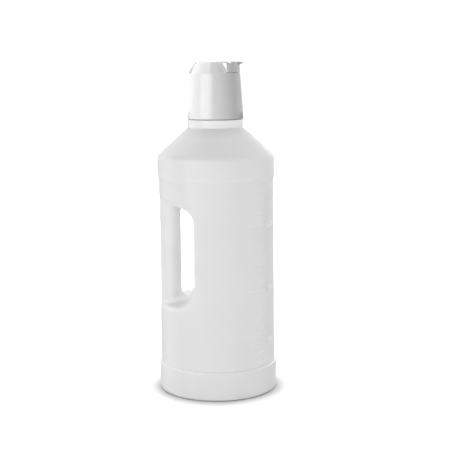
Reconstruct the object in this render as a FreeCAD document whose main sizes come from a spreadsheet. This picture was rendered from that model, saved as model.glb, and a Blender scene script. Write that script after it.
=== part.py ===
import FreeCAD, Part
import math
import os
import re

import Sketcher
from FreeCAD import Placement, Rotation, Vector

# Calf feeding bottle of about two litres. Millimetres, +Z up, origin at the middle of the foot.
# The handle is on the -X side, and the lid's finger lip is on the +X side.

doc = FreeCAD.newDocument("calf_feeding_bottle")
sheet = doc.addObject("Spreadsheet::Sheet", "Sizes")

SIZES = {
    # Bottle: foot, body, rings and shoulder
    "base_radius": 60.1,
    "base_top": 29.0,
    "base_edge_round": 1.1,
    "foot_round": 2.4,
    "foot_inner": 48.0,
    "push_up": 6.0,
    "push_up_radius": 38.0,
    "body_foot_radius": 58.4,
    "body_top_radius": 57.9,
    "ring_radius": 59.1,
    "ring_bottom": 216.6,
    "ring_top": 239.8,
    "ring_slope": 1.5,
    "shoulder_round": 6.0,
    "wall": 1.3,
    # Bottle: neck
    "bead_radius": 28.3,
    "bead_bottom": 267.0,
    "bead_top": 275.5,
    "bead_round": 0.8,
    "neck_radius": 23.6,
    "neck_bore": 21.0,
    "mouth": 300.0,
    # Thread, shared by the neck and the cap
    "pitch": 4.5,
    "thread_height": 1.5,
    "thread_root_width": 2.0,
    "thread_crest_width": 1.0,
    "thread_embed": 0.5,
    "neck_thread_start": 281.0,
    "neck_thread_turns": 3.0,
    "cap_thread_start": 283.78,
    "cap_thread_turns": 2.5,
    # Hand opening and handle
    "opening_wall": 22.3,
    "opening_roof_outer": 201.6,
    "opening_roof_inner": 187.0,
    "opening_floor_outer": 88.0,
    "opening_floor_inner": 92.5,
    "opening_roof_round": 15.0,
    "opening_floor_front_round": 22.0,
    "opening_floor_back_round": 4.0,
    "opening_edge_round": 5.0,
    "opening_reach": 70.0,
    "handle_centre": 47.1,
    "handle_half_width": 10.5,
    "handle_half_depth": 13.5,
    "handle_roof_round": 6.0,
    "handle_floor_round": 7.0,
    # Graduation
    "mark_height": 0.9,
    "mark_proud": 0.4,
    "mark_embed": 0.6,
    "mark_right": -36.0,
    "mark_span": 12.0,
    "long_mark_span": 22.0,
    # Screw cap
    "cap_bottom": 276.0,
    "cap_radius": 28.3,
    "cap_bore": 25.5,
    "cap_straight_top": 283.0,
    "cap_edge_round": 0.5,
    "cap_shoulder": 321.0,
    "cap_shoulder_radius": 25.6,
    "cap_shoulder_round": 0.35,
    "cap_wall": 1.85,
    "crown_top": 330.8,
    "crown_base_radius": 24.8,
    "crown_radius": 19.4,
    "crown_inner_radius": 17.6,
    "crown_base_inner": 22.4,
    "crown_base_bottom": 318.0,
    "ledge_bottom": 304.1,
    "ledge_top": 306.2,
    "ledge_hole": 20.0,
    "notch_angle": 31.5,
    "notch_bottom": 321.9,
    "notch_half_width": 2.7,
    # Lid and its hinge
    "hinge_out": 24.3,
    "hinge_level": 322.4,
    "knuckle_radius": 1.5,
    "knuckle_half": 3.0,
    "pin_radius": 0.9,
    "pin_half": 5.0,
    "pin_clearance": 0.05,
    "ear_inner": 3.3,
    "ear_outer": 5.8,
    "ear_radius": 1.8,
    "lid_gap": 0.3,
    "lid_thickness": 1.2,
    "skirt_wall": 1.3,
    "skirt_half_angle": 61.5,
    "skirt_slit_angle": 11.5,
    "skirt_slit_bottom": 329.7,
    "lid_edge": 0.35,
    "lip_reach": 28.9,
    "lip_half_width": 9.0,
    "lip_root_thickness": 3.4,
    "lip_tip_thickness": 0.7,
    "lip_droop": 0.6,
    "arm_thickness": 1.4,
    # Teat, turned inwards, and its clamp
    "seal_gap": 0.1,
    "flange_thickness": 3.0,
    "flange_radius": 25.1,
    "teat_root": 13.2,
    "teat_tip": 9.2,
    "teat_wall": 2.2,
    "teat_length": 74.0,
    "teat_root_round": 0.8,
    "teat_tip_round": 7.0,
    "slit_width": 0.4,
    "slit_length": 7.0,
    "slip_hole": 20.2,
    # Air valve in the flange
    "vent_centre": 17.0,
    "vent_stem": 2.4,
    "vent_rim": 2.8,
    "vent_rim_thickness": 1.0,
    "vent_barb": 2.7,
    "vent_barb_length": 1.8,
    "vent_bore": 1.45,
    "vent_inlet": 0.8,
    "vent_seat_drop": 1.6,
    "vent_seat_length": 0.7,
    "vent_body_length": 7.7,
    "cage_foot": 0.8,
    "cage_hole": 0.7,
    "ball_radius": 1.25,
    "ball_travel": 1.2,
    "ball_gap": 0.03,
}
for row, (alias, number) in enumerate(SIZES.items(), start=1):
    sheet.set(f"A{row}", alias)
    sheet.set(f"B{row}", str(number))
    sheet.setAlias(f"B{row}", alias)
doc.recompute()

XZ_PLANE = Rotation(Vector(1, 0, 0), 90)
XY_PLANE = Rotation()


def bound(text):
    """The expression with each size's alias named in full, as the sheet's cell."""
    return re.sub(r"[a-z]+(?:_[a-z]+)*", lambda m: f"Sizes.{m[0]}" if m[0] in SIZES else m[0], text)


def value(text):
    """An expression's number, in millimetres or degrees."""
    result = sheet.evalExpression(bound(text))
    return float(getattr(result, "Value", result))


def bind(thing, **properties):
    """Binds properties of a document object to expressions of the sizes."""
    for name, text in properties.items():
        thing.setExpression(name.replace("__", "."), bound(text))
    return thing


def outline(name, corners, rotation=XZ_PLANE):
    """A closed outline whose corners are held by named distances bound to the sheet."""
    sketch = doc.addObject("Sketcher::SketchObject", name)
    sketch.Placement = Placement(Vector(), rotation)
    points = [Vector(value(across), value(up), 0) for across, up in corners]
    count = len(points)
    for i in range(count):
        sketch.addGeometry(Part.LineSegment(points[i], points[(i + 1) % count]), False)
    for i in range(count):
        sketch.addConstraint(Sketcher.Constraint("Coincident", i, 2, (i + 1) % count, 1))
    for i, corner in enumerate(corners):
        for kind, axis, text in (("DistanceX", -2, corner[0]), ("DistanceY", -1, corner[1])):
            if text == "0":
                sketch.addConstraint(Sketcher.Constraint("PointOnObject", i, 1, axis))
                continue
            place = sketch.addConstraint(Sketcher.Constraint(kind, -1, 1, i, 1, value(text)))
            sketch.renameConstraint(place, f"{kind}_{i}")
            sketch.setExpression(f"Constraints.{kind}_{i}", bound(text))
    return sketch


def revolved(name, corners, start=0.0, angle=360.0):
    """A solid turned about the Z axis from an outline in the XZ plane."""
    sketch = outline(f"{name}_outline", corners)
    turned = doc.addObject("Part::Revolution", name)
    turned.Source = sketch
    turned.Axis = Vector(0, 0, 1)
    turned.Base = Vector()
    turned.Angle = angle
    turned.Solid = True
    turned.Placement = Placement(Vector(), Rotation(Vector(0, 0, 1), start))
    return turned


def extruded(name, corners, rotation, back, ahead):
    """A prism from an outline, reaching back and ahead of the outline's plane."""
    sketch = outline(f"{name}_outline", corners, rotation)
    prism = doc.addObject("Part::Extrusion", name)
    prism.Base = sketch
    prism.DirMode = "Normal"
    prism.Solid = True
    bind(prism, LengthFwd=ahead, LengthRev=back)
    return prism


def joined(name, *pieces):
    """One solid from pieces that meet or overlap."""
    fuse = doc.addObject("Part::MultiFuse", name)
    fuse.Shapes = list(pieces)
    fuse.Refine = False
    return fuse


def common(name, base, tool):
    """The space that both share."""
    result = doc.addObject("Part::Common", name)
    result.Base = base
    result.Tool = tool
    return result


def cut(name, base, tool):
    """The base with the tool's space taken away. The volume has to drop."""
    result = doc.addObject("Part::Cut", name)
    result.Base = base
    result.Tool = tool
    doc.recompute()
    if not result.Shape.Volume < base.Shape.Volume - 1e-6:
        raise ValueError(f"{name} removes nothing")
    return result


def rounded(name, base, radius, wanted, far_radius=None):
    """Rounds the edges of the base that the test picks, to the far radius at their far ends."""
    doc.recompute()
    radii = (value(radius), value(far_radius or radius))
    result = doc.addObject("Part::Fillet", name)
    result.Base = base
    edges = [i + 1 for i, edge in enumerate(base.Shape.Edges) if wanted(edge)]
    if not edges:
        raise ValueError(f"{name} finds no edge")
    result.Edges = [(i, *radii) for i in edges]
    return result


def cylinder(name, radius, height, base=("0", "0", "0"), rotation=XY_PLANE):
    """An upright cylinder, or one turned by the rotation, bound to the sheet."""
    made = doc.addObject("Part::Cylinder", name)
    made.Placement = Placement(Vector(*[value(text) for text in base]), rotation)
    return bind(
        made,
        Radius=radius,
        Height=height,
        Placement__Base__x=base[0],
        Placement__Base__y=base[1],
        Placement__Base__z=base[2],
    )


# Both threads start at this angle, clear of the seams of the round walls that they stand on.
THREAD_TURN = 40.0


def thread(name, root, outward, start, turns):
    """A helical ridge. Outward is 1 on the neck and -1 in the cap."""
    helix = doc.addObject("Part::Helix", f"{name}_path")
    helix.Placement = Placement(Vector(0, 0, value(start)), Rotation())
    bind(helix, Pitch="pitch", Height=f"pitch * {turns}", Radius=root, Placement__Base__z=start)
    sign = "+" if outward > 0 else "-"
    back = "-" if outward > 0 else "+"
    crest = f"{root} {sign} thread_height"
    foot = f"{root} {back} thread_embed"
    slope = "(thread_root_width - thread_crest_width) / 2 / thread_height"
    flare = f"thread_root_width / 2 + thread_embed * {slope}"
    profile = outline(
        f"{name}_profile",
        [
            (foot, f"{start} - ({flare})"),
            (crest, f"{start} - thread_crest_width / 2"),
            (crest, f"{start} + thread_crest_width / 2"),
            (foot, f"{start} + {flare}"),
        ],
    )
    sweep = doc.addObject("Part::Sweep", name)
    sweep.Sections = [profile]
    sweep.Spine = (helix, ["Edge1"])
    sweep.Solid = True
    sweep.Frenet = True
    sweep.Placement = Placement(Vector(), Rotation(Vector(0, 0, 1), THREAD_TURN))
    return sweep


def named(label, feature):
    """Gives the finished sub-part its own name, which is its file's name too."""
    feature.Label = label
    SUB_PARTS.append(feature)
    return feature


SUB_PARTS = []


# ---------------------------------------------------------------- bottle

SHOULDER_RISE = "((bead_bottom - ring_top) / (ring_radius - bead_radius))"
SHOULDER_DROP = f"(sqrt(1 + {SHOULDER_RISE} ^ 2) - {SHOULDER_RISE})"


def side_profile(inset):
    """The bottle's turned profile up to the shoulder's foot, drawn in by the inset."""
    return [
        ("0", f"push_up + {inset}"),
        (f"push_up_radius + {inset} * 0.2", f"push_up + {inset}"),
        (f"foot_inner + {inset} * 0.2", inset),
        (f"base_radius - {inset}", inset),
        (f"base_radius - {inset}", f"base_top - {inset}"),
        (f"body_foot_radius - {inset}", f"base_top - {inset}"),
        (f"body_top_radius - {inset}", f"ring_bottom - ring_slope + {inset}"),
        (f"ring_radius - {inset}", f"ring_bottom + ring_slope + {inset}"),
        (f"ring_radius - {inset}", f"ring_top - {inset} * {SHOULDER_DROP}"),
    ]


OUTER_NECK = [
    ("bead_radius", "bead_bottom"),
    ("bead_radius", "bead_top"),
    ("neck_radius", "bead_top"),
    ("neck_radius", "mouth"),
    ("0", "mouth"),
]
INNER_SHOULDER_TOP = f"bead_bottom + (bead_radius - neck_bore) * {SHOULDER_RISE}"
INNER_NECK = [
    ("neck_bore", f"{INNER_SHOULDER_TOP} - wall * sqrt(1 + {SHOULDER_RISE} ^ 2)"),
    ("neck_bore", "mouth + 1"),
    ("0", "mouth + 1"),
]


def bottle_form(name, inset, neck):
    """The bottle's filled form, drawn in from the outer surface by the inset."""
    whole = revolved(f"{name}_whole", side_profile(inset) + neck)
    reach = "base_radius + 5"
    hand = extruded(
        f"{name}_hand_prism",
        [
            ("-opening_reach", f"opening_roof_outer + {inset}"),
            (f"-opening_wall + {inset}", f"opening_roof_inner + {inset}"),
            (f"-opening_wall + {inset}", f"opening_floor_inner - {inset}"),
            ("-opening_reach", f"opening_floor_outer - {inset}"),
        ],
        XZ_PLANE,
        reach,
        reach,
    )
    corner = f"-opening_wall + {inset}"
    hand = rounded(
        f"{name}_hand_floor",
        hand,
        f"opening_floor_back_round + {inset}",
        across_y(corner, f"opening_floor_inner - {inset}"),
        f"opening_floor_front_round + {inset}",
    )
    hand = rounded(
        f"{name}_hand",
        hand,
        f"opening_roof_round + {inset}",
        across_y(corner, f"opening_roof_inner + {inset}"),
    )
    held = cut(f"{name}_held", whole, hand)
    held = rounded(f"{name}_soft", held, f"opening_edge_round - {inset}", on_rim)

    grip = doc.addObject("Part::Ellipse", f"{name}_grip_oval")
    grip.Placement = Placement(Vector(0, 0, 0), Rotation(Vector(0, 0, 1), 90))
    bind(
        grip,
        MajorRadius=f"handle_half_depth - {inset}",
        MinorRadius=f"handle_half_width - {inset}",
        Placement__Base__x="-handle_centre",
        Placement__Base__z="opening_floor_outer - 8",
    )
    post = doc.addObject("Part::Extrusion", f"{name}_grip")
    post.Base = grip
    post.DirMode = "Normal"
    post.Solid = True
    bind(post, LengthFwd="opening_roof_outer - opening_floor_outer + 12")
    return joined(f"{name}_form", held, post)


def across_y(across, up):
    """Picks the edge that runs along Y through this point of the XZ plane."""
    point = (value(across), value(up))

    def wanted(edge):
        box = edge.BoundBox
        off = math.hypot(box.Center.x - point[0], box.Center.z - point[1])
        return box.YLength > 10 and off < 0.01

    return wanted


def on_rim(edge):
    """Picks the hand opening's edges, where it breaks the bottle's side."""
    box = edge.BoundBox
    low, high = value("opening_floor_outer - 4"), value("opening_roof_outer + 2")
    if box.ZMin < low or box.ZMax > high or box.XMax > value("4 - opening_wall"):
        return False
    middle = edge.valueAt((edge.FirstParameter + edge.LastParameter) / 2)
    on_side = math.hypot(middle.x, middle.y) > value("body_top_radius - wall - 1")
    crosses = box.XLength < 1 and abs(box.YLength - 2 * abs(middle.y)) < 1e-3
    return on_side and not crosses


def on_handle_root(upper):
    """Picks the edges where the handle meets the roof, or else the floor, of the hand opening."""
    low, high = value("opening_floor_outer - 6"), value("opening_roof_outer + 4")
    middle = (low + high) / 2
    low, high = (middle, high) if upper else (low, middle)
    out, near = value("handle_centre + handle_half_width"), value("opening_wall")
    half = value("handle_half_depth + 1")

    def wanted(edge):
        box = edge.BoundBox
        beside = box.XMin > -out - 1 and box.XMax < -near and max(box.YMax, -box.YMin) < half
        return beside and box.ZMin > low and box.ZMax < high and box.ZLength < 30

    return wanted


def circle_at(radius_text, level_text):
    """Picks the circular edge about the axis with this radius at this level."""
    radius, level = value(radius_text), value(level_text)

    def wanted(edge):
        box = edge.BoundBox
        flat = box.ZLength < 1e-4 and abs(box.ZMin - level) < 0.01
        return flat and abs(math.hypot(edge.Vertexes[0].X, edge.Vertexes[0].Y) - radius) < 0.01

    return wanted


outer = bottle_form("outer", "0", OUTER_NECK)
outer = rounded("outer_foot", outer, "foot_round", circle_at("base_radius", "0"))
outer = rounded("outer_base", outer, "base_edge_round", circle_at("base_radius", "base_top"))
outer = rounded("outer_shoulder", outer, "shoulder_round", circle_at("ring_radius", "ring_top"))
outer = rounded("outer_bead", outer, "bead_round", circle_at("bead_radius", "bead_top"))
outer = rounded("outer_handle_floor", outer, "handle_floor_round", on_handle_root(False))
outer = rounded("outer_handle", outer, "handle_roof_round", on_handle_root(True))
inner = bottle_form("inner", "wall", INNER_NECK)
inner = rounded("inner_foot", inner, "foot_round - wall", circle_at("base_radius - wall", "wall"))

# The marks stand at real volumes: below the hand opening the whole bore fills, and beside it less.
bore = value("(body_foot_radius + body_top_radius) / 2 - wall")
bore_area = math.pi * bore**2
half_chord = math.acos(value("opening_wall - wall") / bore)
segment = bore**2 * (half_chord - math.sin(half_chord) * math.cos(half_chord))
grip_area = math.pi * value("handle_half_width - wall") * value("handle_half_depth - wall")
beside_area = bore_area - segment + grip_area
push_up_volume = math.pi * value("push_up") * value("push_up_radius * foot_inner")
floor_level = value("(opening_floor_outer + opening_floor_inner) / 2")
floor_volume = bore_area * (floor_level - value("wall")) - push_up_volume
roof_level = value("(opening_roof_outer + opening_roof_inner) / 2")
roof_volume = floor_volume + beside_area * (roof_level - floor_level)
MILLILITRE = 1000.0
MARKS_ML = range(300, 2000, 100)
LONG_MARK_ML = 500


def mark_level(millilitres):
    """The level at which the bottle holds this much."""
    volume = millilitres * MILLILITRE
    if volume < floor_volume:
        return value("wall") + (volume + push_up_volume) / bore_area
    if volume < roof_volume:
        return floor_level + (volume - floor_volume) / beside_area
    return roof_level + (volume - roof_volume) / bore_area


def mark(millilitres):
    """One raised graduation line, longer at each half litre."""
    level = f"{mark_level(millilitres):.2f}"
    taper = "(body_foot_radius - body_top_radius) / (ring_bottom - ring_slope - base_top)"
    side = f"body_foot_radius - ({level} - base_top) * {taper}"
    span = value("long_mark_span" if millilitres % LONG_MARK_ML == 0 else "mark_span")
    return revolved(
        f"mark_{millilitres}",
        [
            (f"{side} - mark_embed", f"{level} - mark_height"),
            (side, f"{level} - mark_height * 0.7"),
            (f"{side} + mark_proud", f"{level} - mark_height / 4"),
            (f"{side} + mark_proud", f"{level} + mark_height / 4"),
            (side, f"{level} + mark_height * 0.7"),
            (f"{side} - mark_embed", f"{level} + mark_height"),
        ],
        value("mark_right") - span,
        span,
    )


marks = [mark(millilitres) for millilitres in MARKS_ML]
neck_thread = thread("neck_thread", "neck_radius", 1, "neck_thread_start", "neck_thread_turns")
solid_bottle = joined("solid_bottle", outer, neck_thread, *marks)
bottle = named("bottle", cut("bottle", solid_bottle, inner))

# ---------------------------------------------------------------- screw cap

# Down the cap's cone, how far the side draws in for each millimetre of rise.
CONE = "((cap_radius - cap_shoulder_radius) / (cap_shoulder - cap_straight_top))"


def cone_radius(level):
    """The radius of the cap's cone, carried on upwards past the shoulder, at a level."""
    return f"cap_shoulder_radius - {CONE} * ({level} - cap_shoulder)"


def around(name, angle, corners, back, ahead):
    """A prism that points outwards from the axis. Angle 0 is the front, -Y, and 90 is +X."""
    turned = Rotation(Vector(0, 0, 1), angle) * XZ_PLANE
    return extruded(name, corners, turned, back, ahead)


def hinge_rod(name, radius, start, end):
    """A rod on the lid's hinge line, from start to end along Y."""
    along_y = Rotation(Vector(1, 0, 0), -90)
    return cylinder(name, radius, f"{end} - ({start})", ("-hinge_out", start, "hinge_level"), along_y)


# The threaded sleeve and the crown above it are made apart and joined at the end.
cap_sleeve = revolved(
    "cap_sleeve",
    [
        ("cap_bore", "cap_bottom"),
        ("cap_radius", "cap_bottom"),
        ("cap_radius", "cap_straight_top"),
        (cone_radius("ledge_bottom"), "ledge_bottom"),
        ("cap_bore", "ledge_bottom"),
    ],
)
cap_sleeve = rounded("cap_sleeve_soft", cap_sleeve, "cap_edge_round", circle_at("cap_radius", "cap_bottom"))
cap_thread = thread("cap_thread", "cap_bore", -1, "cap_thread_start", "cap_thread_turns")
cap_crown = revolved(
    "cap_crown",
    [
        (cone_radius("ledge_bottom"), "ledge_bottom"),
        ("cap_shoulder_radius", "cap_shoulder"),
        ("crown_base_radius", "cap_shoulder"),
        ("crown_radius", "crown_top"),
        ("crown_inner_radius", "crown_top"),
        ("crown_base_inner", "cap_shoulder"),
        ("crown_base_inner", "crown_base_bottom"),
        (f"{cone_radius('crown_base_bottom - 2')} - cap_wall", "crown_base_bottom - 2"),
        (f"{cone_radius('ledge_top')} - cap_wall", "ledge_top"),
        ("ledge_hole", "ledge_top"),
        ("ledge_hole", "ledge_bottom"),
    ],
)
cap_crown = rounded(
    "crown_shoulder", cap_crown, "cap_shoulder_round", circle_at("cap_shoulder_radius", "cap_shoulder")
)
cap_crown = rounded("crown_lip", cap_crown, "cap_shoulder_round", circle_at("crown_radius", "crown_top"))
ear_rods = [
    hinge_rod("ear_front", "ear_radius", "-ear_outer", "-ear_inner"),
    hinge_rod("ear_back", "ear_radius", "ear_inner", "ear_outer"),
]
cap_form = joined("crown_with_ears", cap_crown, *ear_rods)
for side, angle in (("front", "notch_angle"), ("back", "180 - notch_angle")):
    notch = around(
        f"notch_{side}",
        value(angle),
        [
            ("0", "notch_bottom"),
            ("notch_half_width * 1.2", "notch_bottom + (crown_top - notch_bottom) * 1.2"),
            ("-notch_half_width * 1.2", "notch_bottom + (crown_top - notch_bottom) * 1.2"),
        ],
        "0",
        "cap_radius + 5",
    )
    cap_form = cut(f"crown_with_notch_{side}", cap_form, notch)
hinge_slot = around(
    "hinge_slot",
    -90.0,
    [
        ("-ear_inner", "hinge_level - knuckle_radius - 0.4"),
        ("ear_inner", "hinge_level - knuckle_radius - 0.4"),
        ("ear_inner", "crown_top + 1"),
        ("-ear_inner", "crown_top + 1"),
    ],
    "0",
    "cap_radius + 5",
)
cap_form = cut("crown_with_slot", cap_form, hinge_slot)
pin_hole = hinge_rod("pin_hole", "pin_radius + pin_clearance", "-pin_half - 0.2", "pin_half + 0.2")
cap_form = cut("crown_with_pin_hole", cap_form, pin_hole)

# The right side of the crown is set back, so that the lid's skirt lies flush with the cone.
def skirt_inner(level):
    """The radius of the skirt's inner face at a level."""
    return f"{cone_radius(level)} - skirt_wall"


def over_right_side(name, corners, half_angle):
    """A turned piece centred on +X, reaching the half angle each way."""
    return revolved(name, corners, -value(half_angle), 2 * value(half_angle))


rebate = over_right_side(
    "rebate",
    [
        (f"{skirt_inner('cap_shoulder + lid_gap')} - lid_gap", "cap_shoulder + lid_gap"),
        ("cap_radius + 5", "cap_shoulder + lid_gap"),
        ("cap_radius + 5", "crown_top + 1"),
        (f"{skirt_inner('crown_top + 1')} - lid_gap", "crown_top + 1"),
    ],
    "skirt_half_angle + 1",
)
cap_form = cut("crown_with_rebate", cap_form, rebate)
screw_cap = named("screw_cap", joined("screw_cap", cap_sleeve, cap_thread, cap_form))

# ---------------------------------------------------------------- flip lid

lid_bottom = "(crown_top + lid_gap)"
lid_top = "(crown_top + lid_gap + lid_thickness)"
skirt_bottom = "(cap_shoulder + 2 * lid_gap)"
lid_disc = revolved(
    "lid_disc",
    [
        ("0", lid_bottom),
        ("crown_radius", lid_bottom),
        ("crown_radius", f"{lid_top} - lid_edge"),
        ("crown_radius - lid_edge", lid_top),
        ("0", lid_top),
    ],
)
lid_skirt = over_right_side(
    "lid_skirt",
    [
        (skirt_inner("skirt_slit_bottom"), "skirt_slit_bottom"),
        (skirt_inner(skirt_bottom), skirt_bottom),
        (cone_radius(skirt_bottom), skirt_bottom),
        (cone_radius("skirt_slit_bottom"), "skirt_slit_bottom"),
    ],
    "skirt_half_angle",
)
# Beyond this stretch the disc hangs free over the skirt's ends, which leaves a slit at each.
lid_shoulder = over_right_side(
    "lid_shoulder",
    [
        ("crown_radius - 2", lid_bottom),
        (skirt_inner(lid_bottom), lid_bottom),
        (skirt_inner("skirt_slit_bottom"), "skirt_slit_bottom"),
        (cone_radius("skirt_slit_bottom"), "skirt_slit_bottom"),
        (cone_radius(f"({lid_top} - lid_edge)"), f"{lid_top} - lid_edge"),
        (f"{cone_radius(lid_top)} - lid_edge", lid_top),
        ("crown_radius - 2", lid_top),
    ],
    "skirt_half_angle - skirt_slit_angle",
)
lip_root = f"({cone_radius(lid_top)} - 0.8)"
lip_plan = extruded(
    "lip_plan",
    [
        (lip_root, "-lip_half_width"),
        ("lip_reach", "-lip_half_width * 0.72"),
        ("lip_reach", "lip_half_width * 0.72"),
        (lip_root, "lip_half_width"),
    ],
    XY_PLANE,
    "0",
    "crown_top + 10",
)
lip_side = extruded(
    "lip_side",
    [
        (lip_root, f"{lid_top} - lip_root_thickness"),
        ("lip_reach", f"{lid_top} - lip_droop - lip_tip_thickness"),
        ("lip_reach", f"{lid_top} - lip_droop"),
        (lip_root, lid_top),
    ],
    XZ_PLANE,
    "lip_half_width",
    "lip_half_width",
)
lid_lip = common("lid_lip", lip_plan, lip_side)
# The arm's outer side bows outwards, and hides the hinge's slot from the side.
lid_arm = extruded(
    "lid_arm",
    [
        ("-hinge_out + arm_thickness", "hinge_level - 0.2"),
        ("-crown_radius + arm_thickness", lid_bottom),
        ("-crown_radius + arm_thickness", lid_top),
        ("-crown_radius + 0.1", lid_top),
        ("-crown_radius - 0.1", lid_bottom),
        ("-hinge_out + 1.2", "hinge_level + 4.4"),
        ("-hinge_out - 0.5", "hinge_level + 1.2"),
    ],
    XZ_PLANE,
    "knuckle_half",
    "knuckle_half",
)
knuckle = hinge_rod("knuckle", "knuckle_radius", "-knuckle_half", "knuckle_half")
hinge_pin = hinge_rod("hinge_pin", "pin_radius", "-pin_half", "pin_half")
flip_lid = named(
    "flip_lid",
    joined("flip_lid", lid_disc, lid_skirt, lid_shoulder, lid_lip, lid_arm, knuckle, hinge_pin),
)

# ---------------------------------------------------------------- teat and its clamp

flange_bottom = "(mouth + seal_gap)"
flange_top = "(mouth + seal_gap + flange_thickness)"
tip_level = f"({flange_bottom} - teat_length)"
teat_form = revolved(
    "teat_form",
    [
        ("0", tip_level),
        ("teat_tip", tip_level),
        ("teat_root", flange_bottom),
        ("flange_radius", flange_bottom),
        ("flange_radius", flange_top),
        ("teat_root - teat_wall", flange_top),
        ("teat_tip - teat_wall", f"{tip_level} + teat_wall"),
        ("0", f"{tip_level} + teat_wall"),
    ],
)
teat_form = rounded("teat_tip_outside", teat_form, "teat_tip_round", circle_at("teat_tip", tip_level))
teat_form = rounded(
    "teat_tip_inside",
    teat_form,
    "teat_tip_round - teat_wall",
    circle_at("teat_tip - teat_wall", f"{tip_level} + teat_wall"),
)
teat_form = rounded("teat_root_outside", teat_form, "teat_root_round", circle_at("teat_root", flange_bottom))
teat_form = rounded(
    "teat_mouth", teat_form, "teat_root_round", circle_at("teat_root - teat_wall", flange_top)
)
slits = []
for axis_name, turn in (("x", 0.0), ("y", 90.0)):
    slit = doc.addObject("Part::Box", f"slit_{axis_name}")
    turned = Rotation(Vector(0, 0, 1), turn)
    half = Vector(value("slit_length / 2"), value("slit_width / 2"), 0)
    slit.Placement = Placement(Vector(0, 0, value(tip_level) - 1) - turned.multVec(half), turned)
    bind(slit, Length="slit_length", Width="slit_width", Height="teat_wall + 2")
    slits.append(slit)
teat_form = cut("teat_with_slits", teat_form, joined("slits", *slits))
vent_hole = cylinder(
    "vent_hole", "vent_stem", "flange_thickness + 2", ("0", "vent_centre", f"{flange_bottom} - 1")
)
teat = named("teat", cut("teat", teat_form, vent_hole))

slip_ring = named(
    "slip_ring",
    revolved(
        "slip_ring",
        [
            ("slip_hole", flange_top),
            ("flange_radius", flange_top),
            ("flange_radius", "ledge_bottom - seal_gap"),
            ("slip_hole", "ledge_bottom - seal_gap"),
        ],
    ),
)

# ---------------------------------------------------------------- air valve

rim_top = f"({flange_top} + vent_rim_thickness)"
seat_top = f"({rim_top} - vent_seat_drop)"
body_bottom = f"({rim_top} - vent_body_length)"


def at_vent(turned):
    """Moves a part turned about the Z axis out to the valve's place in the flange."""
    return bind(turned, Placement__Base__y="vent_centre")


vent_body = named(
    "vent_body",
    at_vent(
        revolved(
            "vent_body",
            [
                ("vent_inlet", rim_top),
                ("vent_rim", rim_top),
                ("vent_rim", flange_top),
                ("vent_stem", flange_top),
                ("vent_stem", flange_bottom),
                ("vent_barb", flange_bottom),
                ("vent_barb", f"{flange_bottom} - vent_barb_length / 2"),
                ("vent_stem", f"{flange_bottom} - vent_barb_length"),
                ("vent_stem", body_bottom),
                ("vent_bore", body_bottom),
                ("vent_bore", f"{seat_top} - vent_seat_length"),
                ("vent_inlet", seat_top),
            ],
        )
    ),
)

# The ball seals where its round side meets the seat's cone.
seat_half_angle = math.atan(value("(vent_bore - vent_inlet) / vent_seat_length"))
cone_point = value(seat_top) + value("vent_inlet") / math.tan(seat_half_angle)
seated_level = cone_point - value("ball_radius") / math.sin(seat_half_angle)
resting_level = seated_level - value("ball_gap + ball_travel")
vent_ball = doc.addObject("Part::Sphere", "vent_ball")
vent_ball.Placement = Placement(Vector(0, value("vent_centre"), resting_level), Rotation())
bind(vent_ball, Radius="ball_radius", Placement__Base__y="vent_centre")
named("vent_ball", vent_ball)

cage_top = f"({resting_level:.4f} - ball_radius - ball_gap)"
vent_cage = named(
    "vent_cage",
    at_vent(
        revolved(
            "vent_cage",
            [
                ("cage_hole", f"{body_bottom} - cage_foot"),
                ("vent_stem", f"{body_bottom} - cage_foot"),
                ("vent_stem", body_bottom),
                ("vent_bore", body_bottom),
                ("vent_bore", cage_top),
                ("cage_hole", cage_top),
            ],
        )
    ),
)

# ---------------------------------------------------------------- checks and files

doc.recompute()
for thing in doc.Objects:
    if {"Invalid", "Error"} & set(thing.State):
        raise ValueError(f"{thing.Name} failed: {thing.State}")
for part in SUB_PARTS:
    shape = part.Shape
    if shape.isNull() or not shape.isValid() or not shape.Solids:
        raise ValueError(f"{part.Label} has no valid solid")
os.makedirs("parts", exist_ok=True)
for part in SUB_PARTS:
    part.Shape.exportStep(f"parts/{part.Label}.step")
    box = part.Shape.BoundBox
    print(f"{part.Label:10s} {part.Shape.Volume / 1000:8.2f} ml, Z {box.ZMin:.1f} to {box.ZMax:.1f}")
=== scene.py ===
import math

import bpy
from mathutils import Matrix, Vector
from mathutils.bvhtree import BVHTree


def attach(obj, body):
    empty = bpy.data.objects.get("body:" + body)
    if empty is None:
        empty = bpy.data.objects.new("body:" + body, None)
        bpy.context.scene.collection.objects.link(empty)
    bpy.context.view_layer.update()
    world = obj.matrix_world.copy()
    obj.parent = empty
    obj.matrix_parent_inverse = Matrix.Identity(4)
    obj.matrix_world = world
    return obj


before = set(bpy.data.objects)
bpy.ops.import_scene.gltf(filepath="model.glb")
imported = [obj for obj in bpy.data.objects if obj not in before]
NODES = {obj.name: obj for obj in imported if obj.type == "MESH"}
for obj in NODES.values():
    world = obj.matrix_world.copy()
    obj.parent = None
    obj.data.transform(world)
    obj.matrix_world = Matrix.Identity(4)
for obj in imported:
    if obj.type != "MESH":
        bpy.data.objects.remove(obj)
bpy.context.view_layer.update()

MM = 0.001
SCENE = bpy.context.scene

# ---------------------------------------------------------------- camera

FRAME_PIXELS = 455
FOCAL_PIXELS = 1040.0
SENSOR_MM = 36.0
CAMERA_BACK = 1050 * MM
CAMERA_HEIGHT = 324 * MM
CAMERA_RIGHT = 11.1 * MM
CAMERA_PITCH = math.radians(8.61)
CAMERA_ROLL = math.radians(-0.57)


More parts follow.
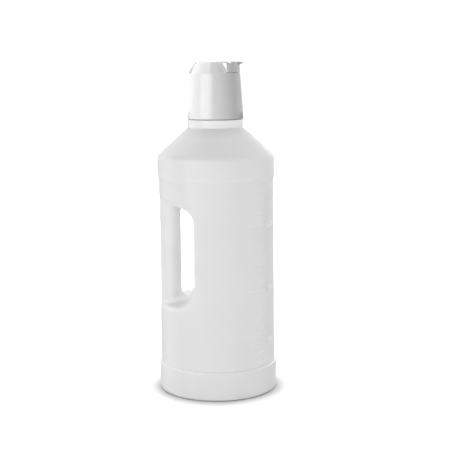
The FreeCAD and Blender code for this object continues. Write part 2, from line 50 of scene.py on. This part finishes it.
def add_camera():
    """The camera in front of the bottle, a little above its crown, looking down along +Y."""
    lens = bpy.data.cameras.new("studio_camera")
    lens.sensor_width = SENSOR_MM
    lens.lens = SENSOR_MM * FOCAL_PIXELS / FRAME_PIXELS
    lens.clip_start = 0.05
    lens.clip_end = 50
    camera = bpy.data.objects.new("studio_camera", lens)
    SCENE.collection.objects.link(camera)
    camera.location = (CAMERA_RIGHT, -CAMERA_BACK, CAMERA_HEIGHT)
    look = Matrix.Rotation(math.pi / 2 - CAMERA_PITCH, 4, "X") @ Matrix.Rotation(CAMERA_ROLL, 4, "Z")
    camera.rotation_euler = look.to_euler()
    SCENE.camera = camera


# ---------------------------------------------------------------- looks


class Look:
    """A material whose colour, roughness and relief come from noise fixed to the object, in metres."""

    def __init__(self, name):
        self.material = bpy.data.materials.new(name)
        self.material.use_nodes = True
        self.tree = self.material.node_tree
        self.shader = self.tree.nodes["Principled BSDF"]
        self.place = self.tree.nodes.new("ShaderNodeTexCoord").outputs["Object"]
        self.relief = None

    def set(self, **values):
        """Sets the shader's own sockets; an underscore stands for a space."""
        for socket, value in values.items():
            self.shader.inputs[socket.replace("_", " ")].default_value = value

    def math(self, operation, first, second):
        """A Math node of two values, each a number or a socket."""
        node = self.tree.nodes.new("ShaderNodeMath")
        node.operation = operation
        for socket, value in zip(node.inputs, (first, second)):
            if isinstance(value, (int, float)):
                socket.default_value = value
            else:
                self.tree.links.new(value, socket)
        return node.outputs[0]

    def noise(self, grain, stretch=(1, 1, 1), detail=3.0):
        """Noise whose features are about one grain across, stretched along the axes."""
        spread = self.tree.nodes.new("ShaderNodeMapping")
        spread.inputs["Scale"].default_value = [1 / (grain * length) for length in stretch]
        self.tree.links.new(self.place, spread.inputs["Vector"])
        texture = self.tree.nodes.new("ShaderNodeTexNoise")
        texture.inputs["Scale"].default_value = 1.0
        texture.inputs["Detail"].default_value = detail
        self.tree.links.new(spread.outputs["Vector"], texture.inputs["Vector"])
        return texture.outputs["Fac"]

    def spread(self, value, low, high, start=0.3, end=0.7):
        """A value stretched from start..end to low..high."""
        ramp = self.tree.nodes.new("ShaderNodeMapRange")
        numbers = {"From Min": start, "From Max": end, "To Min": low, "To Max": high}
        for socket, number in numbers.items():
            ramp.inputs[socket].default_value = number
        self.tree.links.new(value, ramp.inputs["Value"])
        return ramp.outputs["Result"]

    def tint(self, value, low, high, start=0.3, end=0.7):
        """Colours from low to high by a value."""
        mix = self.tree.nodes.new("ShaderNodeMix")
        mix.data_type = "RGBA"
        mix.inputs["A"].default_value = (*low, 1)
        mix.inputs["B"].default_value = (*high, 1)
        self.tree.links.new(self.spread(value, 0, 1, start, end), mix.inputs["Factor"])
        self.tree.links.new(mix.outputs["Result"], self.shader.inputs["Base Color"])

    def height(self):
        """How high a point stands."""
        split = self.tree.nodes.new("ShaderNodeSeparateXYZ")
        self.tree.links.new(self.place, split.inputs[0])
        return split.outputs["Z"]

    def darken(self, value, low, high, start, end):
        """Multiplies the colour set so far by low..high, as a value goes from start to end."""
        painted = self.shader.inputs["Base Color"].links[0].from_socket
        scale = self.tree.nodes.new("ShaderNodeVectorMath")
        scale.operation = "SCALE"
        self.tree.links.new(painted, scale.inputs[0])
        self.tree.links.new(self.spread(value, low, high, start, end), scale.inputs["Scale"])
        self.tree.links.new(scale.outputs[0], self.shader.inputs["Base Color"])

    def roughness(self, value, low, high):
        """Roughness from low to high by a value."""
        self.tree.links.new(self.spread(value, low, high), self.shader.inputs["Roughness"])

    def bump(self, height, depth):
        """Relief of a depth in metres, laid over the relief before it."""
        node = self.tree.nodes.new("ShaderNodeBump")
        node.inputs["Distance"].default_value = depth
        self.tree.links.new(height, node.inputs["Height"])
        if self.relief is not None:
            self.tree.links.new(self.relief, node.inputs["Normal"])
        self.relief = node.outputs["Normal"]
        self.tree.links.new(self.relief, self.shader.inputs["Normal"])


# ---------------------------------------------------------------- light and floor

BOTTLE_MIDDLE = (0, 0, 0.17)
KEY_AZIMUTH = -40
KEY_AWAY = 1.3
KEY_HEIGHT = 0.42
KEY_SIZE = (1.06, 1.5)
KEY_RADIANCE = 1.2
CAP_KEY_RADIANCE = 3.4
CAP_FILL_AZIMUTH = -16
CAP_FILL_RADIANCE = 1.1
RIM_AZIMUTH = 178
RIM_SIZE = (0.8, 1.0)
CAP_RIM_RADIANCE = 0.15
TOP_PLACE = (0, 0.1, 1.5)
TOP_SIZE = (1.5, 1.5)
TOP_RADIANCE = 0.4
FILL_AWAY = 2.0
FILL_HEIGHT = -0.1
FILL_SIZE = (2.0, 2.4)
BOTTLE_FILLS = ((-100, 1.0), (-35, 1.6), (15, 1.5), (75, 1.85), (165, 1.0))
TABLE_PLACE = (0, 0.1, 1.6)
TABLE_SIZE = (1.8, 1.8)
TABLE_RADIANCE = 2.9
TABLE_MIDDLE = (0, 0, 0)
BACKDROP_GLOW = 1.15
ROOM_GLOW = 0.13
ROOM_END = -0.1
BACKDROP_START = 0.45


def aim(thing, place, target):
    """Puts a light at a place, facing the target."""
    thing.location = place
    thing.rotation_euler = (Vector(target) - Vector(place)).to_track_quat("-Z", "Y").to_euler()


def around_bottle(azimuth_degrees, distance, height):
    """A place round the bottle: azimuth 0 is in front of it, and 90 is at its right."""
    azimuth = math.radians(azimuth_degrees)
    return (distance * math.sin(azimuth), -distance * math.cos(azimuth), height)


def add_softbox(name, place, target, width, height, radiance):
    """A rectangular softbox of even radiance."""
    light = bpy.data.lights.new(name, "AREA")
    light.shape = "RECTANGLE"
    light.size = width
    light.size_y = height
    light.energy = radiance * width * height * math.pi
    softbox = bpy.data.objects.new(name, light)
    SCENE.collection.objects.link(softbox)
    aim(softbox, place, target)
    return softbox


def grouped(name, things):
    """A collection of things, for light linking."""
    group = bpy.data.collections.new(name)
    for thing in things:
        group.objects.link(thing)
    return group


def add_lights(floor, bottle_things):
    """A tall key softbox at the left, one overhead, and softboxes kept to the cap, bottle and table."""
    cap_nodes = [NODES[node] for node in NODES if node != "bottle"]
    cap_lit = grouped("cap_lit", cap_nodes)
    bottle_lit = grouped("bottle_lit", bottle_things)
    in_the_way = grouped("in_the_way", cap_nodes + bottle_things)

    key_place = around_bottle(KEY_AZIMUTH, KEY_AWAY, KEY_HEIGHT)
    add_softbox("key_softbox", key_place, BOTTLE_MIDDLE, *KEY_SIZE, KEY_RADIANCE)
    cap_key = add_softbox("cap_softbox", key_place, BOTTLE_MIDDLE, *KEY_SIZE, CAP_KEY_RADIANCE)
    cap_key.light_linking.receiver_collection = cap_lit
    cap_place = around_bottle(CAP_FILL_AZIMUTH, KEY_AWAY, KEY_HEIGHT)
    cap_fill = add_softbox("cap_fill_softbox", cap_place, BOTTLE_MIDDLE, *KEY_SIZE, CAP_FILL_RADIANCE)
    cap_fill.visible_glossy = False
    cap_fill.light_linking.receiver_collection = cap_lit
    rim_place = around_bottle(RIM_AZIMUTH, KEY_AWAY, KEY_HEIGHT)
    rim = add_softbox("cap_rim_softbox", rim_place, BOTTLE_MIDDLE, *RIM_SIZE, CAP_RIM_RADIANCE)
    rim.light_linking.receiver_collection = cap_lit

    add_softbox("top_softbox", TOP_PLACE, TABLE_MIDDLE, *TOP_SIZE, TOP_RADIANCE)
    for azimuth, radiance in BOTTLE_FILLS:
        place = around_bottle(azimuth, FILL_AWAY, FILL_HEIGHT)
        fill = add_softbox(f"bottle_fill_{azimuth}", place, BOTTLE_MIDDLE, *FILL_SIZE, radiance)
        fill.light_linking.receiver_collection = bottle_lit
        fill.light_linking.blocker_collection = in_the_way
    table_light = add_softbox("table_softbox", TABLE_PLACE, TABLE_MIDDLE, *TABLE_SIZE, TABLE_RADIANCE)
    table_light.light_linking.receiver_collection = grouped("table_lit", [floor])


def add_world():
    """A white backdrop behind the bottle, with a dimmer room in front of it."""
    world = bpy.data.worlds.new("studio")
    SCENE.world = world
    world.use_nodes = True
    tree = world.node_tree
    tree.nodes.clear()
    place = tree.nodes.new("ShaderNodeTexCoord")
    split = tree.nodes.new("ShaderNodeSeparateXYZ")
    tree.links.new(place.outputs["Generated"], split.inputs[0])
    ramp = tree.nodes.new("ShaderNodeMapRange")
    ramp.interpolation_type = "SMOOTHSTEP"
    ramp.inputs["From Min"].default_value = ROOM_END
    ramp.inputs["From Max"].default_value = BACKDROP_START
    ramp.inputs["To Min"].default_value = ROOM_GLOW
    ramp.inputs["To Max"].default_value = BACKDROP_GLOW
    tree.links.new(split.outputs["Y"], ramp.inputs["Value"])
    light_path = tree.nodes.new("ShaderNodeLightPath")
    shown = tree.nodes.new("ShaderNodeMix")
    shown.data_type = "FLOAT"
    tree.links.new(light_path.outputs["Is Camera Ray"], shown.inputs["Factor"])
    tree.links.new(ramp.outputs["Result"], shown.inputs["A"])
    shown.inputs["B"].default_value = BACKDROP_GLOW
    background = tree.nodes.new("ShaderNodeBackground")
    background.inputs["Color"].default_value = (1, 1, 1, 1)
    tree.links.new(shown.outputs["Result"], background.inputs["Strength"])
    output = tree.nodes.new("ShaderNodeOutputWorld")
    tree.links.new(background.outputs[0], output.inputs["Surface"])


FLOOR_HALF = 6.0
FLOOR_SEEN = 0.9
FLOOR_BOUNCE = 0.33
FLOOR_GLOW = 0.9
GLOW_START = 120 * MM
GLOW_END = 900 * MM
# painted contact shadow: the floor's colour is darkened in a ring from the foot's edge outwards
FOOT_EDGE = 60 * MM
CONTACT_END = 74 * MM
CONTACT_SHADE = 0.58


def add_floor():
    """A wide white table, with a contact shadow painted into its colour round the foot. It shows white but
    throws little light back.
    """
    corners = [(-FLOOR_HALF, -FLOOR_HALF, 0), (FLOOR_HALF, -FLOOR_HALF, 0)]
    corners += [(FLOOR_HALF, FLOOR_HALF, 0), (-FLOOR_HALF, FLOOR_HALF, 0)]
    mesh = bpy.data.meshes.new("floor")
    mesh.from_pydata(corners, [], [(0, 1, 2, 3)])
    floor = bpy.data.objects.new("floor", mesh)
    SCENE.collection.objects.link(floor)
    look = Look("floor_white")
    away = look.tree.nodes.new("ShaderNodeVectorMath")
    away.operation = "LENGTH"
    look.tree.links.new(look.place, away.inputs[0])
    distance = away.outputs["Value"]
    seen = look.tree.nodes.new("ShaderNodeLightPath").outputs["Is Camera Ray"]
    # painted contact shadow: darker colour at the foot, fading to full white by CONTACT_END
    shade = look.spread(distance, CONTACT_SHADE, 1, FOOT_EDGE, CONTACT_END)
    white = look.spread(seen, FLOOR_BOUNCE, FLOOR_SEEN, 0, 1)
    look.tree.links.new(look.math("MULTIPLY", shade, white), look.shader.inputs["Base Color"])
    glow = look.spread(distance, 0, FLOOR_GLOW, GLOW_START, GLOW_END)
    look.tree.links.new(look.math("MULTIPLY", glow, seen), look.shader.inputs["Emission Strength"])
    look.set(Emission_Color=(1, 1, 1, 1), Roughness=0.9, Specular_IOR_Level=0.1)
    mesh.materials.append(look.material)
    return floor


# ---------------------------------------------------------------- materials


MILKY_THIN = (0.95, 0.955, 0.945)
MILKY_THICK = (0.985, 0.985, 0.98)
# painted shade: how far the colour is darkened at the middle of the neck
NECK_PAINTED_SHADE = 0.83
SHOULDER_TOP = 257 * MM
NECK_MIDDLE = 266 * MM


def bottle_plastic(name, milkiness):
    """Milky, satin, blow-moulded polyethylene: cloudy with wall thickness, darkened by painted shade from the
    shoulder into the neck, with faint drawn lines.
    """
    look = Look(name)
    look.tint(look.noise(45 * MM, (1, 1, 2)), MILKY_THIN, MILKY_THICK)
    # painted shade: the colour darkens from the top of the shoulder to the middle of the neck
    look.darken(look.height(), 1, NECK_PAINTED_SHADE, SHOULDER_TOP, NECK_MIDDLE)
    look.roughness(look.noise(14 * MM), 0.34, 0.46)
    look.set(Subsurface_Weight=milkiness, Subsurface_Radius=(1, 1, 1), Subsurface_Scale=4 * MM)
    look.bump(look.noise(38 * MM, (1, 1, 1.5), 1.0), 0.25 * MM)
    look.bump(look.noise(2.2 * MM, (1, 1, 30), 2.0), 0.01 * MM)
    look.bump(look.noise(0.9 * MM), 0.02 * MM)
    return look.material


def cap_plastic():
    """Glossy white injection-moulded polypropylene, with a trace of orange peel and fine wear."""
    look = Look("cap_plastic_look")
    look.tint(look.noise(12 * MM), (0.79, 0.79, 0.79), (0.815, 0.815, 0.815))
    look.roughness(look.noise(5 * MM), 0.03, 0.07)
    look.set(Specular_IOR_Level=1.0)
    look.set(Subsurface_Weight=0.12, Subsurface_Radius=(1, 1, 1), Subsurface_Scale=1.5 * MM)
    look.bump(look.noise(9 * MM, (1, 1, 1), 1.0), 0.02 * MM)
    look.bump(look.noise(0.7 * MM), 0.004 * MM)
    return look.material


def valve_plastic():
    """Natural, slightly clear polypropylene."""
    look = Look("valve_plastic_look")
    look.tint(look.noise(4 * MM), (0.76, 0.78, 0.78), (0.84, 0.85, 0.85))
    look.roughness(look.noise(1.5 * MM), 0.22, 0.34)
    look.set(Subsurface_Weight=0.4, Subsurface_Radius=(1, 1, 1), Subsurface_Scale=1.5 * MM)
    look.bump(look.noise(0.4 * MM), 0.006 * MM)
    return look.material


def teat_rubber():
    """Soft red-brown rubber, matt and faintly bloomed."""
    look = Look("teat_rubber_look")
    look.tint(look.noise(7 * MM), (0.36, 0.07, 0.035), (0.48, 0.11, 0.06))
    look.roughness(look.noise(2 * MM), 0.5, 0.68)
    look.set(Subsurface_Weight=0.25, Subsurface_Radius=(1, 0.35, 0.2), Subsurface_Scale=1.5 * MM)
    look.set(Sheen_Weight=0.25, Sheen_Roughness=0.5)
    look.bump(look.noise(0.5 * MM), 0.03 * MM)
    return look.material


def ball_steel():
    """Polished stainless steel with fine wear."""
    look = Look("ball_steel_look")
    look.tint(look.noise(0.8 * MM), (0.56, 0.57, 0.58), (0.64, 0.65, 0.66))
    look.roughness(look.noise(0.3 * MM, (1, 1, 4)), 0.08, 0.2)
    look.set(Metallic=1.0)
    look.bump(look.noise(0.15 * MM), 0.001 * MM)
    return look.material


# ---------------------------------------------------------------- moulded detail

RIDGE_RADIUS = 0.3 * MM
RIDGE_PROUD = 0.12 * MM
RIDGE_STEP = 1.5 * MM
RIDGE_GAP = 4 * RIDGE_STEP
LEAST_POINTS = 3
GRAZING = -0.15
FAR_OUT = 100 * MM
BODY_HEIGHTS = (31.5 * MM, 215 * MM)
SHOULDER_HEIGHTS = (226 * MM, 264 * MM)
OPENING_HEIGHTS = (93 * MM, 186 * MM)
OPENING_MIDDLE = -29 * MM
PINCH_OFF_HALF = 42 * MM
HALF_LITRE_LEVELS = {500: 53.95 * MM, 1000: 107.15 * MM, 1500: 171.6 * MM}
NUMERAL_HEIGHT = 6.5 * MM
FONT_SIZE_PER_HEIGHT = 1.4
NUMERAL_PROUD = 0.3 * MM
NUMERAL_SUNK = 0.5 * MM
NUMERAL_AZIMUTH = 66


def cast(tree, start, direction):
    """Where a ray first meets the bottle and the surface's normal there, or None for both."""
    place, normal, _, _ = tree.ray_cast(Vector(start), Vector(direction))
    return place, normal


def steps(low, high):
    """Even steps from low to high."""
    count = round((high - low) / RIDGE_STEP)
    return [low + (high - low) * index / count for index in range(count + 1)]


def add_ridge(name, rays, tree, material):
    """A fine raised line along the points where rays meet the bottle, mostly sunk in its wall."""
    runs = [[]]
    for start, direction in rays:
        place, normal = cast(tree, start, direction)
        if place is None or normal.dot(Vector(direction)) > GRAZING:
            runs.append([])
        elif runs[-1] and (place - runs[-1][-1]).length > RIDGE_GAP:
            runs.append([place - normal * (RIDGE_RADIUS - RIDGE_PROUD)])
        else:
            runs[-1].append(place - normal * (RIDGE_RADIUS - RIDGE_PROUD))
    curve = bpy.data.curves.new(name, "CURVE")
    curve.dimensions = "3D"
    curve.bevel_depth = RIDGE_RADIUS
    curve.bevel_resolution = 2
    curve.use_fill_caps = True
    for run in runs:
        if len(run) < LEAST_POINTS:
            continue
        line = curve.splines.new("POLY")
        line.points.add(len(run) - 1)
        for point, place in zip(line.points, run):
            point.co = (*place, 1)
    curve.materials.append(material)
    ridge = bpy.data.objects.new(name, curve)
    SCENE.collection.objects.link(ridge)
    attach(ridge, "bottle")
    return ridge


def add_parting_line(tree, material):
    """The line where the two halves of the blow mould met, bare over the lower part of the shoulder ring, and
    the pinch-off under the foot."""
    sides = steps(*BODY_HEIGHTS) + steps(*SHOULDER_HEIGHTS)
    opening = steps(*OPENING_HEIGHTS)
    under = steps(-PINCH_OFF_HALF, PINCH_OFF_HALF)
    rays_of = {
        "parting_right": [((FAR_OUT, 0, z), (-1, 0, 0)) for z in sides],
        "parting_left": [((-FAR_OUT, 0, z), (1, 0, 0)) for z in sides],
        "parting_opening": [((OPENING_MIDDLE, 0, z), (1, 0, 0)) for z in opening],
        "parting_grip": [((OPENING_MIDDLE, 0, z), (-1, 0, 0)) for z in opening],
        "pinch_off": [((x, 0, -FAR_OUT), (0, 0, 1)) for x in under],
    }
    return [add_ridge(name, rays, tree, material) for name, rays in rays_of.items()]


def add_numerals(tree, material):
    """Raised numerals at the half-litre marks, bent round the bottle's side."""
    azimuth = math.radians(NUMERAL_AZIMUTH)
    numerals = []
    for number, level in HALF_LITRE_LEVELS.items():
        text = bpy.data.curves.new(f"numeral_{number}", "FONT")
        text.body = str(number)
        text.size = NUMERAL_HEIGHT * FONT_SIZE_PER_HEIGHT
        text.extrude = (NUMERAL_PROUD + NUMERAL_SUNK) / 2
        text.align_x = "CENTER"
        text.align_y = "CENTER"
        text.resolution_u = 3
        flat = bpy.data.objects.new(f"numeral_{number}_flat", text)
        SCENE.collection.objects.link(flat)
        bpy.context.view_layer.update()
        shown = flat.evaluated_get(bpy.context.evaluated_depsgraph_get())
        mesh = bpy.data.meshes.new_from_object(shown)
        bpy.data.objects.remove(flat)
        outward = Vector((math.sin(azimuth), -math.cos(azimuth), 0))
        side, _ = cast(tree, outward * FAR_OUT + Vector((0, 0, level)), -outward)
        radius = math.hypot(side.x, side.y)
        for corner in mesh.vertices:
            along, up, out = corner.co
            reach = radius + out + (NUMERAL_PROUD - NUMERAL_SUNK) / 2
            turn = azimuth + along / radius
            corner.co = (reach * math.sin(turn), -reach * math.cos(turn), level + up)
        mesh.materials.clear()
        mesh.materials.append(material)
        numeral = bpy.data.objects.new(f"numeral_{number}", mesh)
        SCENE.collection.objects.link(numeral)
        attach(numeral, "bottle")
        numerals.append(numeral)
    return numerals


def dress(node, material):
    """Gives a CAD node its material."""
    slots = NODES[node].data.materials
    slots.clear()
    slots.append(material)


SCENE.view_settings.view_transform = "Standard"
add_camera()
add_world()

bottle_look = bottle_plastic("bottle_plastic_look", 1)
detail_look = bottle_plastic("bottle_detail_look", 0)
cap_look = cap_plastic()
dress("bottle", bottle_look)
dress("screw_cap", cap_look)
dress("flip_lid", cap_look)
dress("teat", teat_rubber())
valve_look = valve_plastic()
dress("slip_ring", valve_look)
dress("vent_body", valve_look)
dress("vent_cage", valve_look)
dress("vent_ball", ball_steel())

bottle_node = NODES["bottle"]
bpy.context.view_layer.update()
wall = bottle_node.data.copy()
wall.transform(bottle_node.matrix_world)
tree = BVHTree.FromPolygons([v.co for v in wall.vertices], [p.vertices for p in wall.polygons])
bpy.data.meshes.remove(wall)
bottle_details = add_parting_line(tree, detail_look) + add_numerals(tree, detail_look)
add_lights(add_floor(), [bottle_node, *bottle_details])
